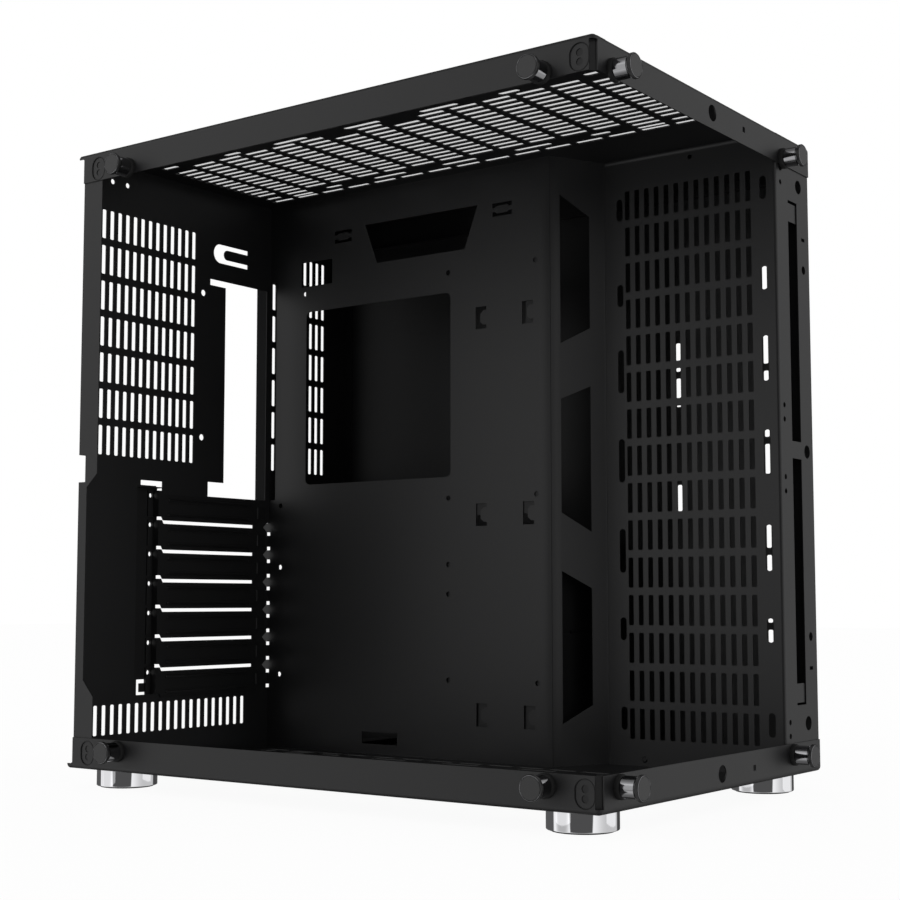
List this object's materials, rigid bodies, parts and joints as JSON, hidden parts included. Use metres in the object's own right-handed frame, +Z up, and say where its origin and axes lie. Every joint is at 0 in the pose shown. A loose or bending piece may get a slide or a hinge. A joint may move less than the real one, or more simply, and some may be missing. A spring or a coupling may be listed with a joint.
{
  "type": "computer case",
  "caption": "Dual chamber desktop computer case in black sheet steel, open at the left and front, with slotted panels, slot covers and round feet.",
  "frame": {"origin": "centre of the outer box, on the floor under the feet", "axes": "+Z up, +Y towards the rear panel, +X towards the closed right side"},
  "size_m": [0.2876, 0.4172, 0.4198],
  "materials": {
    "steel": "fine matt black powder coat",
    "dark_steel": "matt black coat",
    "chrome": "bright plating",
    "rubber": "matt",
    "filter_mesh": "fine woven mesh",
    "plastic": "fine grain",
    "circuit_board": "lacquered board"
  },
  "bodies": {
    "case": {"top_panel": "steel", "top_filter_frame": "rubber", "top_filter_mesh": "filter_mesh", "bottom_panel": "steel", "rear_panel": "steel", "motherboard_tray": "steel", "step_panel": "steel", "fan_wall": "steel", "front_pillar": "steel", "light_channel": "plastic", "right_panel": "steel", "slot_shelf": "dark_steel", "slot_cover_1": "dark_steel", "slot_cover_2": "dark_steel", "slot_cover_3": "dark_steel", "slot_cover_4": "dark_steel", "slot_cover_5": "dark_steel", "slot_cover_6": "dark_steel", "slot_cover_7": "dark_steel", "stud_washers": "rubber", "stud_sleeves": "chrome", "stud_heads": "dark_steel", "foot_1": "chrome", "foot_2": "chrome", "foot_3": "chrome", "foot_4": "chrome", "foot_pads": "rubber", "foot_screws": "chrome", "corner_blocks": "dark_steel", "panel_screws": "dark_steel", "psu_frame": "steel", "psu_rests": "rubber", "drive_cage": "dark_steel", "drive_sled_1": "plastic", "drive_sled_2": "plastic", "drive_sled_3": "plastic", "card_drive_bracket_1": "plastic", "card_drive_bracket_2": "plastic", "port_plate": "plastic", "port_housing": "plastic", "port_board": "circuit_board", "usb_socket_1": "chrome", "usb_socket_2": "chrome", "usb_c_socket": "chrome", "audio_sockets": "plastic", "rivets": "dark_steel"},
    "power_cap": {"power_button": "plastic"},
    "reset_cap": {"reset_button": "plastic"}
  },
  "joints": [
    {"name": "power_press", "type": "slide", "parent": "case", "child": "power_cap", "axis": [0, 0, -1], "range_m": [0, 0.0015], "stiffness_N_per_m": 400, "springref_m": -0.0005},
    {"name": "reset_press", "type": "slide", "parent": "case", "child": "reset_cap", "axis": [0, 0, -1], "range_m": [0, 0.0015], "stiffness_N_per_m": 300, "springref_m": -0.0005}
  ]
}
